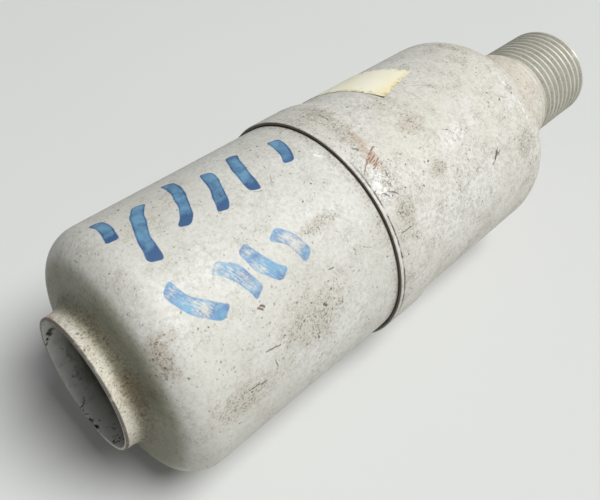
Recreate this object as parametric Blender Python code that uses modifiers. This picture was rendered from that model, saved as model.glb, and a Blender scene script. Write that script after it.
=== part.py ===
"""Pneumatic muffler: two drawn steel half shells on a pipe nipple, with a diffuser and felt rings inside.

Every turned profile is written as (radius, station), where the station is the distance along the axis from
the face of the inlet nipple. One empty lays that axis along world +X.
"""

import math

import bmesh
import bpy
from mathutils import Matrix

# Driving dimensions in metres: inlet nipple, a half inch pipe thread
NIPPLE_RADIUS = 0.01048
NIPPLE_BORE_RADIUS = 0.00805
NIPPLE_CHAMFER = 0.0003
NIPPLE_INNER_REACH = 0.0020
THREAD_LENGTH = 0.0186
THREAD_PITCH = 0.001814
THREAD_DEPTH = 0.00096
THREAD_CREST_FLAT = 0.00022
THREAD_ROOT_FLAT = 0.00054
THREAD_FIRST_CREST = 0.0027
THREAD_RUN_OUT = 0.0030

# Weld bead between nipple and neck
BEAD_WIDTH = 0.0013

# Drawn shells
SHEET = 0.0006
SHELL_RADIUS = 0.0205
NECK_LENGTH = 0.0079
NECK_FILLET = 0.0040
REAR_SHOULDER = 0.0082
REAR_BODY_LENGTH = 0.0297
JOGGLE_LENGTH = 0.0052
SOCKET_DEPTH = 0.0070
FRONT_BODY_LENGTH = 0.0358
FRONT_SHOULDER = 0.0058
COLLAR_RADIUS = 0.0110
COLLAR_FILLET = 0.0032
COLLAR_LIP = 0.0010

# Diffuser and its cap
DIFFUSER_WALL = 0.0008
DIFFUSER_ENGAGEMENT = 0.0080
DIFFUSER_PASS_THROUGH = 0.0040
DIFFUSER_HOLE_RADIUS = 0.00125
DIFFUSER_ROW_COUNT = 4
DIFFUSER_HOLE_COUNT = 6
CAP_FLANGE = 0.0012
CAP_SKIRT_LENGTH = 0.0030
CAP_SKIRT_WALL = 0.0008

# Baffles, liners and felt
BAFFLE_SHEET = 0.0010
BAFFLE_DRILL_DEPTH = 4 * BAFFLE_SHEET
BAFFLE_COLLAR_LENGTH = 0.0030
CENTER_HOLE_RADIUS = 0.0017
CENTER_HOLE_COUNT = 8
OUTLET_HOLE_RADIUS = 0.0014
OUTLET_HOLE_MARGIN = 0.0004
OUTLET_HOLE_COUNT = 6
LINER_RADIUS = 0.0141
LINER_WALL = 0.0006
LINER_HOLE_RADIUS = 0.0016
LINER_ROW_COUNT = 2
LINER_HOLE_COUNT = 8
REAR_FELT_COUNT = 4
FRONT_FELT_COUNT = 5

# Clearances
SLIP_FIT = 0.00012
SEAT_GAP = 0.0003

# Facets
SHELL_STEP_COUNT = 40
INNER_STEP_COUNT = 24
HOLE_SIDE_COUNT = 8
SHOULDER_SEGMENT_COUNT = 6
FILLET_SEGMENT_COUNT = 4
JOGGLE_SEGMENT_COUNT = 4
BEAD_SEGMENT_COUNT = 4

# Radii that follow from the fits
SHELL_BORE = SHELL_RADIUS - SHEET
SOCKET_RADIUS = SHELL_RADIUS + SLIP_FIT + SHEET
NECK_RADIUS = NIPPLE_RADIUS + SLIP_FIT + SHEET
DIFFUSER_RADIUS = NIPPLE_BORE_RADIUS - SLIP_FIT
INSIDE_RADIUS = SHELL_BORE - SEAT_GAP

# Stations along the axis, from the nipple's face to the outlet rim
bead_start = THREAD_LENGTH
neck_start = bead_start + BEAD_WIDTH + SLIP_FIT
neck_end = neck_start + NECK_LENGTH


def bend_angle(drop, shoulder, fillet):
    """Angle that shoulder and fillet both turn through, a right angle if a flat face is left between them."""
    if shoulder + fillet <= drop:
        return math.pi / 2
    return math.acos(1 - drop / (shoulder + fillet))


def drawn_end_length(tube_radius, shoulder, fillet):
    """Length along the axis of a shoulder and fillet that draw the shell down to a tube."""
    return (shoulder + fillet) * math.sin(bend_angle(SHELL_RADIUS - tube_radius, shoulder, fillet))


rear_body_start = neck_end + drawn_end_length(NECK_RADIUS, REAR_SHOULDER, NECK_FILLET)
rear_body_end = rear_body_start + REAR_BODY_LENGTH
socket_start = rear_body_end + JOGGLE_LENGTH
socket_mouth = socket_start + SOCKET_DEPTH
front_shell_start = socket_start + SEAT_GAP
front_body_end = socket_mouth + FRONT_BODY_LENGTH
collar_start = front_body_end + drawn_end_length(COLLAR_RADIUS, FRONT_SHOULDER, COLLAR_FILLET)
outlet_rim = collar_start + COLLAR_LIP
nipple_end = neck_end + NIPPLE_INNER_REACH
diffuser_start = nipple_end - DIFFUSER_ENGAGEMENT
inlet_baffle_start = rear_body_start
center_baffle_end = front_shell_start - SEAT_GAP
center_baffle_start = center_baffle_end - BAFFLE_SHEET
diffuser_end = center_baffle_end + DIFFUSER_PASS_THROUGH
outlet_baffle_start = front_body_end
rear_stack = (inlet_baffle_start + BAFFLE_SHEET + SEAT_GAP, center_baffle_start - SEAT_GAP)
front_stack = (center_baffle_end + SEAT_GAP, outlet_baffle_start - SEAT_GAP)


def clear_scene():
    for obj in list(bpy.data.objects):
        bpy.data.objects.remove(obj, do_unlink=True)


def collection(name):
    made = bpy.data.collections.new(name)
    bpy.context.scene.collection.children.link(made)
    return made


clear_scene()
PARTS = collection("pneumatic_muffler")
CUTTERS = collection("cutters")
AXIS = bpy.data.objects.new("muffler_axis", None)
AXIS.rotation_euler = (0, math.pi / 2, 0)
PARTS.objects.link(AXIS)


def material(name, color, roughness, metallic):
    made = bpy.data.materials.new(name)
    made.use_nodes = True
    shader = made.node_tree.nodes["Principled BSDF"]
    shader.inputs["Base Color"].default_value = (*color, 1)
    shader.inputs["Roughness"].default_value = roughness
    shader.inputs["Metallic"].default_value = metallic
    return made


def place(name, mesh, group):
    obj = bpy.data.objects.new(name, mesh)
    obj.parent = AXIS
    group.objects.link(obj)
    return obj


def turned(name, profile, look, steps, closed=True):
    """A piece turned from its profile, which runs down the outer side and back up the inner one."""
    shape = bmesh.new()
    points = [shape.verts.new((radius, 0, station)) for radius, station in profile]
    for first, second in zip(points, points[1:] + points[:1] if closed else points[1:]):
        shape.edges.new((first, second))
    mesh = bpy.data.meshes.new(name)
    shape.to_mesh(mesh)
    shape.free()
    mesh.materials.append(look)
    obj = place(name, mesh, PARTS)
    screw = obj.modifiers.new("turn", "SCREW")
    screw.axis = "Z"
    screw.steps = steps
    screw.render_steps = steps
    screw.use_smooth_shade = True
    screw.use_merge_vertices = True
    screw.merge_threshold = 0.00001
    return obj


def drill(obj, places, radius, depth):
    """Cuts one round hole at each place, a matrix whose Z axis runs along the hole."""
    shape = bmesh.new()
    for place_matrix in places:
        bmesh.ops.create_cone(
            shape,
            cap_ends=True,
            segments=HOLE_SIDE_COUNT,
            radius1=radius,
            radius2=radius,
            depth=depth,
            matrix=place_matrix,
        )
    mesh = bpy.data.meshes.new(obj.name + "_drill")
    shape.to_mesh(mesh)
    shape.free()
    cutter = place(mesh.name, mesh, CUTTERS)
    cutter.hide_render = True
    cutter.display_type = "WIRE"
    cut = obj.modifiers.new("holes", "BOOLEAN")
    cut.operation = "DIFFERENCE"
    cut.solver = "EXACT"
    cut.object = cutter


def rows_round_tube(radius, low, high, rows, per_row):
    """Hole places in staggered rows round a tube, with half a row's spacing left at each end."""
    spacing = (high - low) / rows
    for row in range(rows):
        station = low + (row + 0.5) * spacing
        for hole in range(per_row):
            angle = math.tau * (hole + 0.5 * (row % 2)) / per_row
            turn = Matrix.Rotation(angle, 4, "Z")
            yield turn @ Matrix.Translation((radius, 0, station)) @ Matrix.Rotation(math.pi / 2, 4, "Y")


def ring_on_disc(radius, station, count):
    for hole in range(count):
        yield Matrix.Rotation(math.tau * hole / count, 4, "Z") @ Matrix.Translation((radius, 0, station))


def drawn_end(tube_radius, shoulder, fillet, inset):
    """(radius, distance from the body's end) of a drawn end, from the body out to the tube.

    The inset is how far this skin lies under the outer one: the shoulder tightens by it, the fillet widens.
    """
    turn = bend_angle(SHELL_RADIUS - tube_radius, shoulder, fillet)
    length = drawn_end_length(tube_radius, shoulder, fillet)
    skin = []
    for step in range(SHOULDER_SEGMENT_COUNT + 1):
        angle = turn * step / SHOULDER_SEGMENT_COUNT
        reach = shoulder - inset
        skin.append((SHELL_RADIUS - shoulder + reach * math.cos(angle), reach * math.sin(angle)))
    for step in range(FILLET_SEGMENT_COUNT + 1):
        angle = turn * (1 - step / FILLET_SEGMENT_COUNT)
        reach = fillet + inset
        point = (tube_radius + fillet - reach * math.cos(angle), length - reach * math.sin(angle))
        if math.dist(point, skin[-1]) > SLIP_FIT:
            skin.append(point)
    return skin


def joggle(inset):
    """(radius, station) of the swage that opens the rear body into its socket, from the socket down."""
    skin = []
    for step in range(JOGGLE_SEGMENT_COUNT + 1):
        share = step / JOGGLE_SEGMENT_COUNT
        swell = (1 + math.cos(math.pi * share)) / 2
        radius = SHELL_RADIUS + (SOCKET_RADIUS - SHELL_RADIUS) * swell - inset
        skin.append((radius, socket_start - JOGGLE_LENGTH * share))
    return skin


def rear_skin(inset):
    end = [(r, rear_body_start - d) for r, d in drawn_end(NECK_RADIUS, REAR_SHOULDER, NECK_FILLET, inset)]
    return [(SOCKET_RADIUS - inset, socket_mouth)] + joggle(inset) + end + [(NECK_RADIUS - inset, neck_start)]


def front_skin(inset):
    end = [(r, front_body_end + d) for r, d in drawn_end(COLLAR_RADIUS, FRONT_SHOULDER, COLLAR_FILLET, inset)]
    rim = [(COLLAR_RADIUS - inset, outlet_rim)]
    return rim + end[::-1] + [(SHELL_RADIUS - inset, front_shell_start)]


def make_shell(name, skin, look):
    turned(name, skin(0) + skin(SHEET)[::-1], look, SHELL_STEP_COUNT)


def thread_profile():
    """(radius, station) down the thread, whose turns are plain rings one pitch apart.

    It runs from a half-deep groove where the die stops to the part-crest that the end's chamfer cuts.
    """
    root = NIPPLE_RADIUS - THREAD_DEPTH
    crest_count = 1 + int((THREAD_LENGTH - THREAD_FIRST_CREST - THREAD_RUN_OUT) / THREAD_PITCH)
    last_crest = THREAD_FIRST_CREST + (crest_count - 1) * THREAD_PITCH
    skin = [
        (NIPPLE_RADIUS, last_crest + THREAD_PITCH),
        (NIPPLE_RADIUS - THREAD_DEPTH / 2, last_crest + THREAD_PITCH / 2),
    ]
    for turn in range(crest_count):
        crest = last_crest - turn * THREAD_PITCH
        groove = crest - THREAD_PITCH / 2
        skin.append((NIPPLE_RADIUS, crest + THREAD_CREST_FLAT / 2))
        skin.append((NIPPLE_RADIUS, crest - THREAD_CREST_FLAT / 2))
        skin.append((root, groove + THREAD_ROOT_FLAT / 2))
        skin.append((root, groove - THREAD_ROOT_FLAT / 2))
    return skin + [(NIPPLE_RADIUS - NIPPLE_CHAMFER / 2, THREAD_FIRST_CREST - THREAD_PITCH)]


def make_nipple(look):
    outside = [(NIPPLE_RADIUS, nipple_end)] + thread_profile() + [(NIPPLE_RADIUS - NIPPLE_CHAMFER, 0)]
    inside = [(NIPPLE_BORE_RADIUS, 0), (NIPPLE_BORE_RADIUS, nipple_end)]
    turned("inlet_nipple", outside + inside, look, SHELL_STEP_COUNT)


def make_weld(look):
    """A quarter-round bead that fills the step from the neck's lip down to the nipple."""
    root = NIPPLE_RADIUS + SLIP_FIT
    bead_end = bead_start + BEAD_WIDTH
    profile = []
    for step in range(BEAD_SEGMENT_COUNT + 1):
        angle = math.pi / 2 * step / BEAD_SEGMENT_COUNT
        radius = root + (NECK_RADIUS - root) * math.cos(angle)
        profile.append((radius, bead_end - BEAD_WIDTH * math.sin(angle)))
    turned("nipple_weld", profile + [(root, bead_end)], look, SHELL_STEP_COUNT)


def make_tube(name, outer, wall, low, high, look):
    profile = [(outer, high), (outer, low), (outer - wall, low), (outer - wall, high)]
    return turned(name, profile, look, INNER_STEP_COUNT)


def make_diffuser(look):
    tube = make_tube("diffuser_tube", DIFFUSER_RADIUS, DIFFUSER_WALL, diffuser_start, diffuser_end, look)
    places = rows_round_tube(
        DIFFUSER_RADIUS,
        rear_stack[0],
        rear_stack[1] - BAFFLE_COLLAR_LENGTH,
        DIFFUSER_ROW_COUNT,
        DIFFUSER_HOLE_COUNT,
    )
    drill(tube, places, DIFFUSER_HOLE_RADIUS, DIFFUSER_RADIUS)


def make_cap(look):
    """A plug with a flange on the tube's end and a skirt inside its bore."""
    seat = diffuser_end + SEAT_GAP
    skirt = DIFFUSER_RADIUS - DIFFUSER_WALL - SEAT_GAP
    profile = [
        (0, seat + CAP_FLANGE),
        (DIFFUSER_RADIUS, seat + CAP_FLANGE),
        (DIFFUSER_RADIUS, seat),
        (skirt, seat),
        (skirt, seat - CAP_SKIRT_LENGTH),
        (skirt - CAP_SKIRT_WALL, seat - CAP_SKIRT_LENGTH),
        (skirt - CAP_SKIRT_WALL, seat),
        (0, seat),
    ]
    turned("diffuser_cap", profile, look, INNER_STEP_COUNT, closed=False)


def collared_baffle(name, outer, face, back, look):
    """A disc from back to face, with a collar drawn towards the inlet round the diffuser."""
    bore = DIFFUSER_RADIUS + SEAT_GAP
    profile = [
        (outer, face),
        (outer, back),
        (bore + BAFFLE_SHEET, back),
        (bore + BAFFLE_SHEET, back - BAFFLE_COLLAR_LENGTH),
        (bore, back - BAFFLE_COLLAR_LENGTH),
        (bore, face),
    ]
    return turned(name, profile, look, INNER_STEP_COUNT)


def make_baffles(look):
    inlet_baffle_end = inlet_baffle_start + BAFFLE_SHEET
    center_radius = SHELL_RADIUS - SEAT_GAP
    collared_baffle("inlet_baffle", INSIDE_RADIUS, inlet_baffle_end, inlet_baffle_start, look)
    center = collared_baffle("center_baffle", center_radius, center_baffle_end, center_baffle_start, look)
    flow_radius = (DIFFUSER_RADIUS + SEAT_GAP + BAFFLE_SHEET + LINER_RADIUS - LINER_WALL) / 2
    drill(
        center,
        ring_on_disc(flow_radius, center_baffle_start, CENTER_HOLE_COUNT),
        CENTER_HOLE_RADIUS,
        BAFFLE_DRILL_DEPTH,
    )
    profile = [
        (0, outlet_baffle_start + BAFFLE_SHEET),
        (INSIDE_RADIUS, outlet_baffle_start + BAFFLE_SHEET),
        (INSIDE_RADIUS, outlet_baffle_start),
        (0, outlet_baffle_start),
    ]
    outlet = turned("outlet_baffle", profile, look, INNER_STEP_COUNT, closed=False)
    outer_ring = COLLAR_RADIUS - SHEET - OUTLET_HOLE_MARGIN - OUTLET_HOLE_RADIUS
    places = list(ring_on_disc(0, outlet_baffle_start, 1))
    places += ring_on_disc(outer_ring / 2, outlet_baffle_start, OUTLET_HOLE_COUNT)
    places += ring_on_disc(outer_ring, outlet_baffle_start, 2 * OUTLET_HOLE_COUNT)
    drill(outlet, places, OUTLET_HOLE_RADIUS, BAFFLE_DRILL_DEPTH)


def make_liner(name, stack, look):
    tube = make_tube(name, LINER_RADIUS, LINER_WALL, *stack, look)
    drill(
        tube,
        rows_round_tube(LINER_RADIUS, *stack, LINER_ROW_COUNT, LINER_HOLE_COUNT),
        LINER_HOLE_RADIUS,
        LINER_RADIUS / 2,
    )


def make_felts(name, stack, count, look):
    bore = LINER_RADIUS + SEAT_GAP
    pitch = (stack[1] - stack[0]) / count
    for ring in range(count):
        low = stack[0] + ring * pitch
        wall = INSIDE_RADIUS - bore
        make_tube(f"{name}_{ring + 1}", INSIDE_RADIUS, wall, low, low + pitch - SEAT_GAP, look)


paint = material("shell_paint", (0.56, 0.56, 0.51), 0.42, 0.0)
thread_steel = material("thread_steel", (0.42, 0.41, 0.38), 0.38, 1.0)
bead_paint = material("bead_paint", (0.60, 0.58, 0.52), 0.5, 0.0)
plated_steel = material("plated_steel", (0.50, 0.50, 0.49), 0.35, 1.0)
felt = material("felt", (0.36, 0.34, 0.30), 0.95, 0.0)

make_nipple(thread_steel)
make_weld(bead_paint)
make_shell("rear_shell", rear_skin, paint)
make_shell("front_shell", front_skin, paint)
make_diffuser(plated_steel)
make_cap(plated_steel)
make_baffles(plated_steel)
make_liner("rear_liner", rear_stack, plated_steel)
make_liner("front_liner", front_stack, plated_steel)
make_felts("rear_felt", rear_stack, REAR_FELT_COUNT, felt)
make_felts("front_felt", front_stack, FRONT_FELT_COUNT, felt)
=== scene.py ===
"""Pneumatic muffler dressed for the studio: painted half shells, a cut pipe thread and a blank label.

The muffler lies along +X, from the inlet face at 0 to the outlet rim. A station is a distance along that
axis, and an angle round it is counted from +Y towards +Z. All sizes are in metres.
"""

import math

import bmesh
import bpy
from mathutils import Matrix, Vector, noise


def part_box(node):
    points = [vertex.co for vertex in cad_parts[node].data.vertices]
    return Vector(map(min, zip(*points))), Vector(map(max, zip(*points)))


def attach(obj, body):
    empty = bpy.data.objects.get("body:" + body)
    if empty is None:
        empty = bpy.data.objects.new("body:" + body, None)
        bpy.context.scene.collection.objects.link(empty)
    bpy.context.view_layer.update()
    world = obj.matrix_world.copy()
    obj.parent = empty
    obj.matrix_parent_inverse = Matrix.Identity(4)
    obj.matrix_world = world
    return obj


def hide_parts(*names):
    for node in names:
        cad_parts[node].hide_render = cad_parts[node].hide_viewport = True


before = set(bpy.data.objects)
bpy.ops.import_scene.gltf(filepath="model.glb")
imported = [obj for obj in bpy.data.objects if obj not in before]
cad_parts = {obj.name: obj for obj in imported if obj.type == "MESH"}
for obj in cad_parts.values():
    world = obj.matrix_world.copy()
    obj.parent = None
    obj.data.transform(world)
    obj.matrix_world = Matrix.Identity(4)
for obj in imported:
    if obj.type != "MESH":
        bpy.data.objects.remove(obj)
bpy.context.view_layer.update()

# Places taken from the solids
neck_lip, socket_mouth = (corner.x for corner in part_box("rear_shell"))
front_edge, outlet_rim = (corner.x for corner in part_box("front_shell"))
bead_start, bead_end = (corner.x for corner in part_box("nipple_weld"))
inlet_face, nipple_end = (corner.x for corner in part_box("inlet_nipple"))
baffle_back, baffle_face = (corner.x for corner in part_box("outlet_baffle"))
diffuser_start, diffuser_end = (corner.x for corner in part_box("diffuser_tube"))
cap_skirt_end, cap_face = (corner.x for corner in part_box("diffuser_cap"))
shell_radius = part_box("front_shell")[1].z
socket_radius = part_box("rear_shell")[1].z
neck_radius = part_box("nipple_weld")[1].z
nipple_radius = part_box("inlet_nipple")[1].z
baffle_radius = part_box("outlet_baffle")[1].z
diffuser_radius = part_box("diffuser_tube")[1].z

# Drawn shells
SHEET = 0.0006
COLLAR_RADIUS = 0.0110
COLLAR_LIP = 0.0010
COLLAR_FILLET = 0.0032
FRONT_SHOULDER = 0.0058
NECK_LENGTH = 0.0079
NECK_FILLET = 0.0040
REAR_SHOULDER = 0.0082
SOCKET_DEPTH = 0.0070
JOGGLE_LENGTH = 0.0052
JOGGLE_RUN = 0.0024
JOGGLE_BEND = 0.0078
LIP_GROOVE_STATION = 0.00075
LIP_GROOVE_WIDTH = 0.00034
LIP_GROOVE_DEPTH = 0.00007
LIP_WAVER = 0.00014
LIP_WAVER_REACH = 0.0012
LIP_WAVER_PERIOD = 0.009
RIM_ROUND = 0.00016
NECK_LIP_ROUND = 0.00006
SHELL_STEPS = 160
BEND_SEGMENTS = 14

# Inlet nipple, a half inch pipe thread
NIPPLE_BORE = 0.00805
THREAD_PITCH = 0.001814
THREAD_DEPTH = 0.00080
THREAD_CREST_STATION = 0.002876
THREAD_ROOT_SHARE = 0.11
THREAD_CREST_SHARE = 0.41
THREAD_ROUND = 0.00022
THREAD_TURNS = 14
THREAD_STEPS = 72
LEAD_IN_DEPTH = 0.0003
LEAD_IN_SLOPE = 0.62
RUN_OUT_START = 0.0158
RUN_OUT_END = 0.0177
RUN_OUT_RISE = 0.97
BORE_CHAMFER = 0.0004
BEAD_RIPPLE = 0.00012

# Diffuser and baffle
DIFFUSER_WALL = 0.0008
DIFFUSER_HOLE_RADIUS = 0.00125
DIFFUSER_ROW_COUNT = 4
DIFFUSER_HOLES_PER_ROW = 6
FIRST_ROW_STATION = 0.04473
ROW_SPACING = 0.00733
BAFFLE_HOLE_RADIUS = 0.0014
BAFFLE_INNER_RING = 0.0043
BAFFLE_OUTER_RING = 0.0086
BAFFLE_EDGE = 0.00010
CAP_FLANGE = 0.0012
CAP_SKIRT_WALL = 0.0008
CAP_INNER_ROUND = 0.0008
CAP_EDGE_ROUND = 0.0004
FIT_GAP = 0.0003
HOLE_STEPS = 20
TUBE_STEPS = 72

# Blank label
LABEL_STATION = 0.0583
LABEL_WIDTH = 0.0112
LABEL_LENGTH = 0.0260
LABEL_FIRST_ANGLE = math.radians(92)
LABEL_TILT = math.radians(-14)
LABEL_PAPER = 0.00008
LABEL_LIFT = 0.00022
LABEL_LIFT_REACH = 0.0045
LABEL_GLUE = 0.00002

# Shared by all pieces
MERGE = 0.000002
CREASE = math.radians(32)
LINE_EDGE = 6500
LINE_CORNER = 0.6
PAINT_GLOSS = 0.35


# Mesh tools
def profile(shape, corners):
    """A chain of edges through (station, radius) corners, in the plane straight up from the axis."""
    points = [shape.verts.new((station, 0, radius)) for station, radius in corners]
    for first, second in zip(points, points[1:]):
        shape.edges.new((first, second))
    return points


def bevel(shape, parts, affect, width, segments):
    bmesh.ops.bevel(
        shape,
        geom=parts,
        affect=affect,
        offset=width,
        offset_type="OFFSET",
        segments=segments,
        profile=0.5,
        material=-1,
    )


def round_corner(shape, point, radius, segments):
    """Rounds one corner of a chain, with the arc flush to both of its sides."""
    first, second = [edge.other_vert(point).co - point.co for edge in point.link_edges]
    turn = math.pi - first.angle(second)
    bevel(shape, [point], "VERTICES", radius * math.tan(turn / 2) * 0.999, segments)


def spin_round(shape, steps):
    """Spins the whole chain once round the axis and turns its faces outwards."""
    bmesh.ops.spin(
        shape,
        geom=shape.verts[:] + shape.edges[:],
        cent=(0, 0, 0),
        axis=(1, 0, 0),
        dvec=(0, 0, 0),
        angle=math.tau,
        steps=steps,
        use_merge=True,
    )
    bmesh.ops.remove_doubles(shape, verts=shape.verts, dist=MERGE)
    bmesh.ops.recalc_face_normals(shape, faces=shape.faces)


def soften(shape, edges, width, segments=3):
    bevel(shape, edges, "EDGES", width, segments)


def rings_at(shape, station):
    """The edges that run round the axis at one station."""
    return [edge for edge in shape.edges if all(abs(v.co.x - station) < MERGE for v in edge.verts)]


def set_radius(point, radius):
    now = math.hypot(point.co.y, point.co.z)
    point.co.y *= radius / now
    point.co.z *= radius / now


def wall(shape, inner_look):
    """Gives the spun skin its sheet thickness on the inside, and the inner faces their own material."""
    made = bmesh.ops.solidify(shape, geom=shape.faces[:], thickness=SHEET)
    for item in made["geom"]:
        if isinstance(item, bmesh.types.BMFace):
            item.material_index = inner_look


def waver(shape, station, reach, along, period):
    """Lets a trimmed lip wander a little along the axis, as a hand-fed cut does."""
    for point in shape.verts:
        near = 1 - abs(point.co.x - station) / reach
        if near > 0:
            spot = Vector((station, point.co.y, point.co.z)) / period
            point.co.x -= along * near * (0.5 + 0.5 * noise.noise(spot))


def as_object(name, shape, *looks):
    """Turns a shape into an object in the scene."""
    mesh = bpy.data.meshes.new(name)
    shape.to_mesh(mesh)
    shape.free()
    for look in looks:
        mesh.materials.append(look)
    made = bpy.data.objects.new(name, mesh)
    bpy.context.scene.collection.objects.link(made)
    return made


def piece(name, slot, shape, *looks):
    """Turns a shape into an object that rides on the muffler."""
    for face in shape.faces:
        face.smooth = True
    for edge in shape.edges:
        edge.smooth = edge.calc_face_angle(0) < CREASE
    made = as_object(name, shape, *looks)
    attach(made, "root")
    return made


# Node tools
class Graph:
    """Short words for wiring one node tree."""

    def __init__(self, tree):
        self.tree = tree

    def add(self, kind, **settings):
        made = self.tree.nodes.new(kind)
        for name, value in settings.items():
            setattr(made, name, value)
        return made

    def feed(self, socket, value):
        if isinstance(value, bpy.types.NodeSocket):
            self.tree.links.new(value, socket)
        else:
            socket.default_value = value

    def math(self, operation, *values, clamp=False):
        made = self.add("ShaderNodeMath", operation=operation, use_clamp=clamp)
        for socket, value in zip(made.inputs, values):
            self.feed(socket, value)
        return made.outputs["Value"]

    def vector(self, operation, *values):
        made = self.add("ShaderNodeVectorMath", operation=operation)
        for socket, value in zip(made.inputs, values):
            self.feed(socket, value)
        scalar = operation in ("DOT_PRODUCT", "LENGTH")
        return made.outputs["Value" if scalar else "Vector"]

    def scaled(self, vector, factor):
        made = self.add("ShaderNodeVectorMath", operation="SCALE")
        self.feed(made.inputs["Vector"], vector)
        self.feed(made.inputs["Scale"], factor)
        return made.outputs["Vector"]

    def times(self, first, second):
        return self.math("MULTIPLY", first, second)

    def plus(self, first, second, clamp=False):
        return self.math("ADD", first, second, clamp=clamp)

    def minus(self, first, second, clamp=False):
        return self.math("SUBTRACT", first, second, clamp=clamp)

    def noise(self, position, scale, detail=2.0, roughness=0.5, output="Fac"):
        made = self.add("ShaderNodeTexNoise")
        self.feed(made.inputs["Vector"], position)
        made.inputs["Scale"].default_value = scale
        made.inputs["Detail"].default_value = detail
        made.inputs["Roughness"].default_value = roughness
        return made.outputs[output]

    def shaken(self, position, scale, reach, detail=3.0, roughness=0.5):
        """Lets a pattern wander, as a hand does."""
        random = self.noise(position, scale, detail, roughness, "Color")
        sway = self.vector("SUBTRACT", random, (0.5, 0.5, 0.5))
        return self.vector("ADD", position, self.scaled(sway, reach))

    def cells(self, position, scale):
        made = self.add("ShaderNodeTexVoronoi")
        self.feed(made.inputs["Vector"], position)
        self.feed(made.inputs["Scale"], scale)
        return made

    def ramp(self, value, low, high):
        """0 at low, 1 at high, smooth between."""
        made = self.add("ShaderNodeMapRange", interpolation_type="SMOOTHSTEP")
        self.feed(made.inputs["Value"], value)
        self.feed(made.inputs["From Min"], low)
        self.feed(made.inputs["From Max"], high)
        return made.outputs["Result"]

    def band(self, value, low, low_full, high_full, high):
        """1 from low_full to high_full, fading to 0 at low and at high."""
        return self.both(self.ramp(value, low, low_full), self.ramp(value, high, high_full))

    def span(self, value, low, high):
        """A straight map of 0..1 to low..high."""
        made = self.add("ShaderNodeMapRange")
        self.feed(made.inputs["Value"], value)
        self.feed(made.inputs["To Min"], low)
        self.feed(made.inputs["To Max"], high)
        return made.outputs["Result"]

    def mix(self, factor, first, second, blend="MIX"):
        made = self.add("ShaderNodeMix", data_type="RGBA", blend_type=blend)
        self.feed(made.inputs[0], factor)
        for socket, value in ((made.inputs[6], first), (made.inputs[7], second)):
            self.feed(socket, value if isinstance(value, bpy.types.NodeSocket) else (*value, 1))
        return made.outputs[2]

    def parts(self, vector):
        made = self.add("ShaderNodeSeparateXYZ")
        self.feed(made.inputs["Vector"], vector)
        return made.outputs["X"], made.outputs["Y"], made.outputs["Z"]

    def joined(self, x, y, z=0.0):
        made = self.add("ShaderNodeCombineXYZ")
        for socket, value in zip(made.inputs, (x, y, z)):
            self.feed(socket, value)
        return made.outputs["Vector"]

    def turned(self, vector, angle, stretch):
        """The pattern's own axes: turned on the surface, then stretched."""
        made = self.add("ShaderNodeMapping", vector_type="TEXTURE")
        self.feed(made.inputs["Vector"], vector)
        made.inputs["Rotation"].default_value = (0, 0, angle)
        made.inputs["Scale"].default_value = stretch
        return made.outputs["Vector"]

    def effect(self, group, **inputs):
        """One of the shared effects, with its own values."""
        made = self.add("ShaderNodeGroup", node_tree=group)
        for name, value in inputs.items():
            self.feed(made.inputs[name.replace("_", " ").capitalize()], value)
        return made.outputs

    def either(self, *masks):
        total = masks[0]
        for mask in masks[1:]:
            total = self.math("MAXIMUM", total, mask)
        return total

    def both(self, *masks):
        total = masks[0]
        for mask in masks[1:]:
            total = self.math("MULTIPLY", total, mask)
        return total


KINDS = {"value": "NodeSocketFloat", "vector": "NodeSocketVector", "color": "NodeSocketColor"}


def effect_group(name, inputs, outputs):
    """An empty shared effect with its named sockets; returns the tree, a Graph on it, and its two ends."""
    tree = bpy.data.node_groups.new(name, "ShaderNodeTree")
    for label, kind in inputs.items():
        tree.interface.new_socket(label, in_out="INPUT", socket_type=KINDS[kind])
    for label, kind in outputs.items():
        tree.interface.new_socket(label, in_out="OUTPUT", socket_type=KINDS[kind])
    start = tree.nodes.new("NodeGroupInput").outputs
    end = tree.nodes.new("NodeGroupOutput").inputs
    return tree, Graph(tree), start, end


# Colours of the paint and of what lies on it; the seam colour is grime with painted shade, and the shaded
# rim is painted shade
COOL_PAINT = (0.532, 0.528, 0.482)
WARM_PAINT = (0.588, 0.554, 0.483)
RUBBED_PAINT = (0.79, 0.79, 0.768)
DIRT_FILM = (0.385, 0.355, 0.290)
DIRT_GRAIN = (0.150, 0.115, 0.078)
DUST = (0.350, 0.335, 0.290)
GRIME_FILM = (0.355, 0.305, 0.235)
SEAM_GRIME_AND_SHADE = (0.138, 0.123, 0.095)
DARK_GRIME = (0.040, 0.035, 0.026)
BARE_CHIP = (0.070, 0.058, 0.045)
SCRATCH_DARK = (0.075, 0.064, 0.052)
NICK_BRIGHT = (0.70, 0.68, 0.63)
WORN_LIP = (0.64, 0.63, 0.585)
BARE_RIM = (0.60, 0.56, 0.45)
SHADED_RIM = (0.215, 0.210, 0.170)
RUST_LINE = (0.200, 0.090, 0.050)
RUST_TICK = (0.12, 0.050, 0.030)
RUST_FILM = (0.420, 0.290, 0.205)
RUST_DOT = (0.095, 0.060, 0.040)
SMUDGE_FILM = (0.36, 0.27, 0.19)
INK_THIN = (0.115, 0.265, 0.395)
INK_THICK = (0.017, 0.072, 0.185)
RUBBED_INK_THIN = (0.140, 0.320, 0.470)
RUBBED_INK_THICK = (0.078, 0.165, 0.335)

# Tints that darken or warm the paint where they lie; the face, root and low root tints are painted shade
FACE_SHADE_TINT = (0.51, 0.515, 0.430)
ROOT_SHADE_TINT = (0.71, 0.69, 0.645)
LOW_ROOT_SHADE_TINT = (0.62, 0.57, 0.50)
COLLAR_TINT = (1.08, 1.05, 0.98)
NECK_TINT = (0.95, 0.91, 0.86)


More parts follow.
